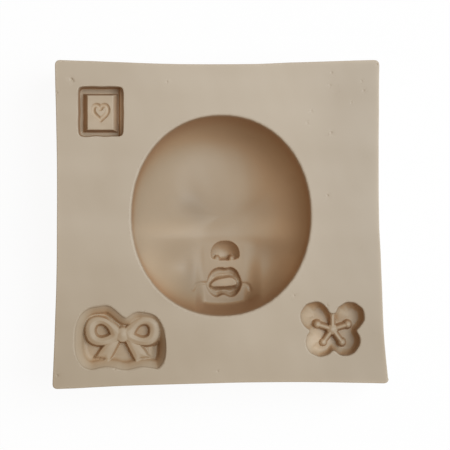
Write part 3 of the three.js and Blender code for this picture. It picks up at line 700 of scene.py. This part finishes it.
def slab_outline():
    """Points anticlockwise round the slab's sides, which bow inwards between rounded corners."""
    stretches = []
    for index, (corner, bow) in enumerate(CORNERS):
        corner = np.array(corner)
        following = np.array(CORNERS[(index + 1) % 4][0])
        before = np.array(CORNERS[index - 1][0])
        along = (following - corner) / np.linalg.norm(following - corner)
        incoming = (corner - before) / np.linalg.norm(corner - before)
        start = corner + along * CORNER_ROUND
        end = following - along * CORNER_ROUND
        pull = (start + end) / 2 + 2 * bow * np.array([-along[1], along[0]])
        stretches.append(quadratic(corner - incoming * CORNER_ROUND, corner, start, CORNER_STEPS))
        side = quadratic(start, pull, end, SIDE_STEPS)
        share = np.linspace(0, 1, SIDE_STEPS, endpoint=False)
        inward = np.interp(share, *zip(*SIDE_WAVES[index]))
        stretches.append(side + inward[:, None] * np.array([-along[1], along[0]]))
    return np.vstack(stretches)


def inwards(outline):
    tangent = np.roll(outline, -1, axis=0) - np.roll(outline, 1, axis=0)
    tangent /= np.linalg.norm(tangent, axis=1)[:, None]
    return np.stack([-tangent[:, 1], tangent[:, 0]], axis=-1)


def flat_fill(loops, grid_points, keep):
    """Triangles between closed loops and through loose points. keep says which triangle middles to keep."""
    points = [Vector(point[:2]) for loop in loops for point in loop]
    edges = []
    base = 0
    for loop in loops:
        edges += [(base + k, base + (k + 1) % len(loop)) for k in range(len(loop))]
        base += len(loop)
    points += [Vector(point) for point in grid_points]
    made = geometry.delaunay_2d_cdt(points, edges, [], 0, 1e-7)
    places = np.array([tuple(point) for point in made[0]])
    triangles = np.array([list(face) for face in made[2]])
    middles = places[triangles].mean(axis=1)
    return places, triangles[keep(middles[:, 0], middles[:, 1])], made[3]


def top_ripple(x, y):
    height = 0.05 * ripple(x, y, 42, SEED + 1) + 0.015 * ripple(x, y, 9, SEED + 2)
    for at_x, at_y, reach, depth in BLEMISHES:
        height = height - depth * np.exp(-(((x - at_x) ** 2 + (y - at_y) ** 2) / reach ** 2) ** 1.3)
    return height


def blemish_points():
    """Extra points in rings round each bubble and nick, so that the mesh can follow them."""
    turn = np.arange(8) * math.tau / 8
    return np.array([(x + reach * step * math.cos(angle + step), y + reach * step * math.sin(angle + step))
                     for x, y, reach, _ in BLEMISHES for step in (0, 0.4, 0.8, 1.3, 1.9) for angle in turn])


# Colour by place: how the base colour is multiplied. Painted shade makes the hollows darker and browner with depth,
# more on steep walls and most where they face away from the window, and darkens the top towards its front left, with
# random mottling, and towards its right. A painted highlight pales the slab's edges, most on the right.

SUNK_PAINTED_SHADE = np.array([0.80, 0.73, 0.65])
STEEP_PAINTED_SHADE = np.array([0.9, 0.8, 0.74])
SHADE_TINT = np.array([1.04, 0.9, 0.77])
TO_WINDOW = np.array([0.48, 0.138, 0.866])
FALLOFF_SHADE_TINT = np.array([0.89, 0.87, 0.835])
SUNK_OVER = 2.8
EDGE_PAINTED_HIGHLIGHT = dict(reach=0.6, paler=0.09, right_more=0.12, right_from=20, right_over=25)
EAST_PAINTED_SHADE = 0.1
# Painted light and shade in patches on the face hollow, from its middle: place, reach either way and how much paler
FACE_PAINTED_LIGHT_AND_SHADE = [
    (-16.0, -4.2, 12.0, 2.8, 0.14), (-21.0, -18.5, 6.5, 8.5, 0.24), (21.5, -15.5, 4.5, 7.0, 0.22),
    (1.0, -14.0, 9.0, 7.0, 0.09), (-6.5, 0.0, 3.5, 3.5, -0.08), (1.4, -20.5, 3.2, 1.2, 0.16),
    (-9.2, -19.5, 3.0, 5.0, -0.13), (-18.0, -23.0, 4.5, 4.0, 0.14), (-23.5, -16.0, 3.5, 6.0, 0.12),
    (18.0, 9.0, 9.0, 12.0, 0.12), (20.0, -4.0, 7.0, 4.5, 0.1), (15.0, -10.0, 8.0, 3.6, -0.1),
    (1.5, 25.0, 14.0, 4.5, -0.07), (12.0, -13.0, 4.0, 7.0, -0.04),
    (-9.5, 4.0, 4.0, 3.5, -0.12), (12.0, 2.5, 6.5, 4.0, -0.12), (1.0, 2.0, 8.0, 5.0, -0.05),
]
# The same painted light and shade patches for the charms, each from its hollow's middle
CHARM_PAINTED_LIGHT_AND_SHADE = [
    (TILE_AT, 0.0, 0.0, 6.5, 7.0, 0.24), (TILE_AT, 6.2, 0.0, 1.6, 7.0, 0.35),
    (CLOUD_AT, 0.0, 0.0, 16.0, 11.0, 0.15), (CLOUD_AT, 13.8, -2.5, 2.6, 9.0, -0.3),
    (CLOUD_AT, -9.3, -6.7, 5.0, 3.5, 0.22), (CLOUD_AT, -4.8, 8.0, 7.0, 2.6, 0.15),
    (FLOWER_AT, -7.5, 1.0, 5.0, 9.0, 0.16), (FLOWER_AT, -4.6, -4.4, 3.5, 3.2, 0.35),
    (FLOWER_AT, 0.0, 5.0, 9.0, 5.0, 0.14),
]


def surface_tone_and_painted_light(points, normals, sunk, outline):
    x, y = points[:, 0], points[:, 1]
    # Painted shade: darker and browner with depth in the hollows, more on steep walls and where they face away from
    # the window
    sunk = np.where(sunk, np.clip((TOP - 0.2 - points[:, 2]) / SUNK_OVER, 0, 1), 0)
    steep = sunk * ease((0.5 - normals[:, 2]) / 0.35)
    shade = sunk * ease((0.93 - normals @ TO_WINDOW) / 0.4)
    # Painted shade towards the top's front left, with random mottling added on the top
    south, west, east = ease((5 - y) / 50), ease((5 - x) / 50), ease((x - 15) / 35)
    falloff_shade_and_mottle = np.clip(south * (1 + 0.75 * west) + 0.4 * west * (1 - south), 0, None)
    falloff_shade_and_mottle = falloff_shade_and_mottle + 0.12 * ripple(x, y, 14, SEED + 3) * (1 - sunk)
    tone = SUNK_PAINTED_SHADE ** sunk[:, None] * STEEP_PAINTED_SHADE ** steep[:, None] * SHADE_TINT ** shade[:, None]
    tone = tone * FALLOFF_SHADE_TINT ** falloff_shade_and_mottle[:, None]
    # Painted light and shade in patches on the hollows
    u, v = x - FACE_AT[0], y - FACE_AT[1]
    painted_patches = sum(form(u, v, (px, py), (reach_x, reach_y), paler) for px, py, reach_x, reach_y, paler in FACE_PAINTED_LIGHT_AND_SHADE)
    for (at_x, at_y), dx, dy, reach_x, reach_y, paler in CHARM_PAINTED_LIGHT_AND_SHADE:
        painted_patches = painted_patches + form(x, y, (at_x + dx, at_y + dy), (reach_x, reach_y), paler)
    # Painted highlight along the slab's edges, more towards the right
    edge = np.exp(-np.clip(outline_inset(x, y, outline[::3]), 0, None) / EDGE_PAINTED_HIGHLIGHT["reach"])
    to_right = ease((x - EDGE_PAINTED_HIGHLIGHT["right_from"]) / EDGE_PAINTED_HIGHLIGHT["right_over"])
    edge_highlight = EDGE_PAINTED_HIGHLIGHT["paler"] + EDGE_PAINTED_HIGHLIGHT["right_more"] * to_right
    # Painted shade towards the right of the top, painted edge highlight and painted patches all multiply in here
    return tone * ((1 + edge_highlight * edge) * (1 + painted_patches * sunk) * (1 - EAST_PAINTED_SHADE * east * (1 - sunk)))[:, None]


def build_slab():
    hollows = [
        (FACE_AT, face_inset, face_depth, FACE_LIP, 3.0, 0.22, 0.36),
        (TILE_AT, tile_inset, tile_depth, TILE_WALLS["lip"], TILE_WALLS["draft"] + TILE_WALLS["foot"], 0.11, 0.16),
        (CLOUD_AT, cloud_inset, cloud_depth, CLOUD_WALLS["lip"], CLOUD_WALLS["draft"] + CLOUD_WALLS["foot"],
         0.11, 0.18),
        (FLOWER_AT, flower_inset, flower_depth, PETAL_LIP, 1.0, 0.1, 0.16),
    ]
    points = []
    faces = []
    rims = []
    total = 0
    for at, inset, depth, lip, wall, spacing, rim_spacing in hollows:
        made, polygons, count = hollow_mesh(at, inset, depth, lip, wall, spacing, rim_spacing)
        rims.append(total + np.arange(count))
        faces += [[total + corner for corner in polygon] for polygon in polygons]
        points.append(made)
        total += len(made)

    outline = slab_outline()
    inward = inwards(outline)
    count = len(outline)
    rows = []
    turns = [math.pi / 2 * step / EDGE_ROWS for step in range(EDGE_ROWS + 1)]
    rows += [(EDGE_ROUND * (1 - math.sin(turn)), TOP - EDGE_ROUND * (1 - math.cos(turn))) for turn in turns]
    for step in range(1, UPRIGHT_ROWS):
        rows.append((0, TOP - EDGE_ROUND - (TOP - 2 * EDGE_ROUND) * step / UPRIGHT_ROWS))
    rows += [(EDGE_ROUND * (1 - math.cos(turn)), EDGE_ROUND * (1 - math.sin(turn))) for turn in turns]
    side_start = total
    for offset, height in rows:
        middle_share = ease((TOP - height) / 3) * ease(height / 3)
        wave = 0.06 + 0.05 * ripple(outline[:, 0] + 0.7 * outline[:, 1], np.full(count, height), 13, SEED + 4)
        ring = outline + inward * (offset + middle_share * wave)[:, None]
        points.append(np.column_stack([ring, np.full(count, height)]))
    for row in range(len(rows) - 1):
        here = side_start + row * count + np.arange(count)
        there = side_start + row * count + (np.arange(count) + 1) % count
        faces += np.stack([here, here + count, there + count, there], axis=-1).tolist()
    total += len(rows) * count
    points = np.vstack(points)

    top_ring = side_start + np.arange(count)
    bottom_ring = side_start + (len(rows) - 1) * count + np.arange(count)

    def in_slab(x, y, margin):
        return outline_inset(x, y, outline[::3]) > margin

    def in_hollow(x, y, margin):
        inside = np.zeros(x.shape, bool)
        for at, inset, *_ in hollows:
            inside |= inset(x - at[0], y - at[1]) > -margin
        return inside

    def loose_points(spacing, keep):
        random = np.random.default_rng(SEED)
        gx, gy = np.meshgrid(np.arange(-HALF_X, HALF_X, spacing), np.arange(-HALF_Y, HALF_Y, spacing))
        gx = gx.ravel() + random.uniform(-0.2, 0.2, gx.size) * spacing
        gy = gy.ravel() + random.uniform(-0.2, 0.2, gy.size) * spacing
        chosen = keep(gx, gy)
        return np.column_stack([gx[chosen], gy[chosen]])

    def add_flat(rings, spacing, loose_keep, height, flip):
        nonlocal points, total
        order = np.concatenate(rings)
        loose = loose_points(spacing, loose_keep)
        beside = [[outline + inward * (EDGE_ROUND + step) for step in (0.2, 0.6, 1.2)]]
        if not flip:
            beside.append([points[rim][:, :2] - inwards(points[rim][:, :2]) * step
                           for rim in rims for step in (0.12, 0.35, 0.75)])
            beside.append([blemish_points()])
        loose = np.vstack([loose, *[row for rows in beside for row in rows]])
        loops = [points[ring] for ring in rings]
        outer = loops[0][:, :2]
        places, triangles, origins = flat_fill(
            loops, loose, lambda x, y: (outline_inset(x, y, outer) > 0) & (flip | ~in_hollow(x, y, -1e-3)))
        lookup = []
        fresh = []
        for place, origin in zip(places, origins):
            known = [k for k in origin if k < len(order)]
            if known:
                lookup.append(order[known[0]])
            else:
                lookup.append(total + len(fresh))
                fresh.append((place[0], place[1], height))
        points = np.vstack([points, np.array(fresh)])
        total += len(fresh)
        for a, b, c in triangles:
            corners = [int(lookup[a]), int(lookup[b]), int(lookup[c])]
            (ax, ay), (bx, by), (cx, cy) = [points[k][:2] for k in corners]
            if ((bx - ax) * (cy - ay) - (by - ay) * (cx - ax) < 0) != flip:
                corners.reverse()
            faces.append(corners)

    add_flat([top_ring, *rims], 1.2, lambda x, y: in_slab(x, y, 2.6) & ~in_hollow(x, y, 1.3), TOP, False)
    add_flat([bottom_ring], 4.0, lambda x, y: in_slab(x, y, 3.0), 0.0, True)

    near_top = ease((points[:, 2] - RIPPLE_FROM) / RIPPLE_OVER)
    points[:, 2] += near_top * (top_ripple(points[:, 0], points[:, 1]) - TOP_LOWER)

    mesh = bpy.data.meshes.new("silicone_slab")
    mesh.from_pydata((points * MM).tolist(), [], [[int(k) for k in polygon] for polygon in faces])
    mesh.validate()
    mesh.polygons.foreach_set("use_smooth", [True] * len(mesh.polygons))
    mesh.update()
    normals = np.zeros(len(mesh.vertices) * 3, np.float32)
    mesh.vertex_normals.foreach_get("vector", normals)
    sunk = np.arange(len(points)) < side_start
    # Base colour multipliers: painted shade, painted highlights, painted patches and random mottling
    tone = surface_tone_and_painted_light(points, normals.reshape(-1, 3), sunk, outline)
    attribute = mesh.attributes.new("tone", "FLOAT_COLOR", "POINT")
    attribute.data.foreach_set("color", np.column_stack([tone, np.ones(len(tone))]).astype(np.float32).ravel())
    slab = bpy.data.objects.new("silicone_slab", mesh)
    bpy.context.scene.collection.objects.link(slab)
    return slab


# Materials

RUBBER_DARK = (0.495, 0.415, 0.32, 1)
RUBBER_LIGHT = (0.525, 0.445, 0.347, 1)
# How much of the floor's look is plain white where it is seen. The rest shows the slab's shadow.
WHITE_SHARE = 0.93


def node(tree, kind, **settings):
    made = tree.nodes.new(kind)
    for name, value in settings.items():
        if name in made.inputs:
            made.inputs[name].default_value = value
        else:
            setattr(made, name.lower(), value)
    return made


def silicone_material():
    material = bpy.data.materials.new("cured_silicone")
    material.use_nodes = True
    tree = material.node_tree
    shader = tree.nodes["Principled BSDF"]
    shader.inputs["IOR"].default_value = 1.41
    shader.inputs["Specular IOR Level"].default_value = 0.45
    place = tree.nodes.new("ShaderNodeTexCoord")
    cloudy = node(tree, "ShaderNodeTexNoise", Scale=38.0, Detail=5.0, Roughness=0.55)
    tree.links.new(place.outputs["Object"], cloudy.inputs["Vector"])
    tone = tree.nodes.new("ShaderNodeValToRGB")
    tone.color_ramp.elements[0].position = 0.3
    tone.color_ramp.elements[0].color = RUBBER_DARK
    tone.color_ramp.elements[1].position = 0.7
    tone.color_ramp.elements[1].color = RUBBER_LIGHT
    tree.links.new(cloudy.outputs["Fac"], tone.inputs["Fac"])
    # The tone attribute carries painted shade, painted highlights and mottling into the base colour
    by_place = node(tree, "ShaderNodeAttribute", attribute_name="tone")
    tint = node(tree, "ShaderNodeMix", data_type="RGBA", blend_type="MULTIPLY")
    tint.inputs[0].default_value = 1.0
    tree.links.new(by_place.outputs["Color"], tint.inputs[7])
    tree.links.new(tone.outputs["Color"], tint.inputs[6])
    tree.links.new(tint.outputs[2], shader.inputs["Base Color"])
    sheen_map = tree.nodes.new("ShaderNodeMapRange")
    sheen_map.inputs["To Min"].default_value = 0.46
    sheen_map.inputs["To Max"].default_value = 0.62
    tree.links.new(cloudy.outputs["Fac"], sheen_map.inputs["Value"])
    tree.links.new(sheen_map.outputs["Result"], shader.inputs["Roughness"])
    fine = node(tree, "ShaderNodeTexNoise", Scale=2600.0, Detail=3.0)
    tree.links.new(place.outputs["Object"], fine.inputs["Vector"])
    bump = node(tree, "ShaderNodeBump", Strength=0.12, Distance=0.0001)
    tree.links.new(fine.outputs["Fac"], bump.inputs["Height"])
    tree.links.new(bump.outputs["Normal"], shader.inputs["Normal"])
    return material


def floor_material():
    """White where it is seen, with a faint shadow left in it, and plain pale matt for every other ray."""
    material = bpy.data.materials.new("pale_floor")
    material.use_nodes = True
    tree = material.node_tree
    shader = tree.nodes["Principled BSDF"]
    shader.inputs["Base Color"].default_value = (0.94, 0.94, 0.94, 1)
    shader.inputs["Roughness"].default_value = 0.9
    rays = tree.nodes.new("ShaderNodeLightPath")
    seen = node(tree, "ShaderNodeMath", operation="ADD")
    tree.links.new(rays.outputs["Is Camera Ray"], seen.inputs[0])
    tree.links.new(rays.outputs["Is Glossy Ray"], seen.inputs[1])
    seen_through = node(tree, "ShaderNodeMath", operation="ADD", use_clamp=True)
    tree.links.new(seen.outputs[0], seen_through.inputs[0])
    tree.links.new(rays.outputs["Is Transmission Ray"], seen_through.inputs[1])
    share = node(tree, "ShaderNodeMath", operation="MULTIPLY")
    share.inputs[1].default_value = WHITE_SHARE
    tree.links.new(seen_through.outputs[0], share.inputs[0])
    white = node(tree, "ShaderNodeEmission", Strength=1.0)
    white.inputs["Color"].default_value = (1, 1, 1, 1)
    blend = tree.nodes.new("ShaderNodeMixShader")
    tree.links.new(share.outputs[0], blend.inputs["Fac"])
    tree.links.new(shader.outputs["BSDF"], blend.inputs[1])
    tree.links.new(white.outputs["Emission"], blend.inputs[2])
    tree.links.new(blend.outputs["Shader"], tree.nodes["Material Output"].inputs["Surface"])
    return material


# The photographer's table

FLOOR_REACH = 1.2
WINDOW_COLOUR = (0.795, 0.905, 1.0)
ROOM_COLOUR = (1.0, 0.8, 0.62, 1)
ROOM_STRENGTH = 0.40


def add_floor():
    mesh = bpy.data.meshes.new("floor")
    reach = FLOOR_REACH
    mesh.from_pydata([(-reach, -reach, 0), (reach, -reach, 0), (reach, reach, 0), (-reach, reach, 0)],
                     [], [(0, 1, 2, 3)])
    floor = bpy.data.objects.new("floor", mesh)
    bpy.context.scene.collection.objects.link(floor)
    floor.data.materials.append(floor_material())


def add_light(name, azimuth, elevation, distance, size, power):
    lamp = bpy.data.lights.new(name, "AREA")
    lamp.size = size
    lamp.color = WINDOW_COLOUR
    lamp.energy = power
    light = bpy.data.objects.new(name, lamp)
    bpy.context.scene.collection.objects.link(light)
    turn = math.radians(azimuth)
    rise = math.radians(elevation)
    light.location = (
        distance * math.cos(turn) * math.cos(rise),
        distance * math.sin(turn) * math.cos(rise),
        distance * math.sin(rise),
    )
    light.rotation_euler = (-light.location).to_track_quat("-Z", "Y").to_euler()


def add_world():
    world = bpy.data.worlds.new("soft_room")
    bpy.context.scene.world = world
    world.use_nodes = True
    background = world.node_tree.nodes["Background"]
    background.inputs["Color"].default_value = ROOM_COLOUR
    background.inputs["Strength"].default_value = ROOM_STRENGTH


# The picture's width in pixels, and how many millimetres of the slab's top one pixel takes
IMAGE_PIXELS = 450
PIXEL = 0.30
CAMERA_DISTANCE = 480.0
CAMERA_AT = (1.305, -0.135)
SENSOR = 36.0


def add_camera():
    camera_data = bpy.data.cameras.new("camera")
    camera = bpy.data.objects.new("camera", camera_data)
    bpy.context.scene.collection.objects.link(camera)
    bpy.context.scene.camera = camera
    width = IMAGE_PIXELS * PIXEL
    camera_data.sensor_width = SENSOR
    camera_data.lens = SENSOR * CAMERA_DISTANCE / width
    camera_data.clip_end = 10
    camera.location = (CAMERA_AT[0] * MM, CAMERA_AT[1] * MM, (TOP + CAMERA_DISTANCE) * MM)
    camera.rotation_euler = (0, 0, 0)


add_camera()
slab = build_slab()
slab.data.materials.append(silicone_material())
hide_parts(SLAB_NODE)
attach(slab, "root")
add_floor()
add_world()
add_light("window", azimuth=16, elevation=60, distance=1.0, size=0.6, power=8.95)
bpy.context.scene.view_settings.view_transform = "Standard"
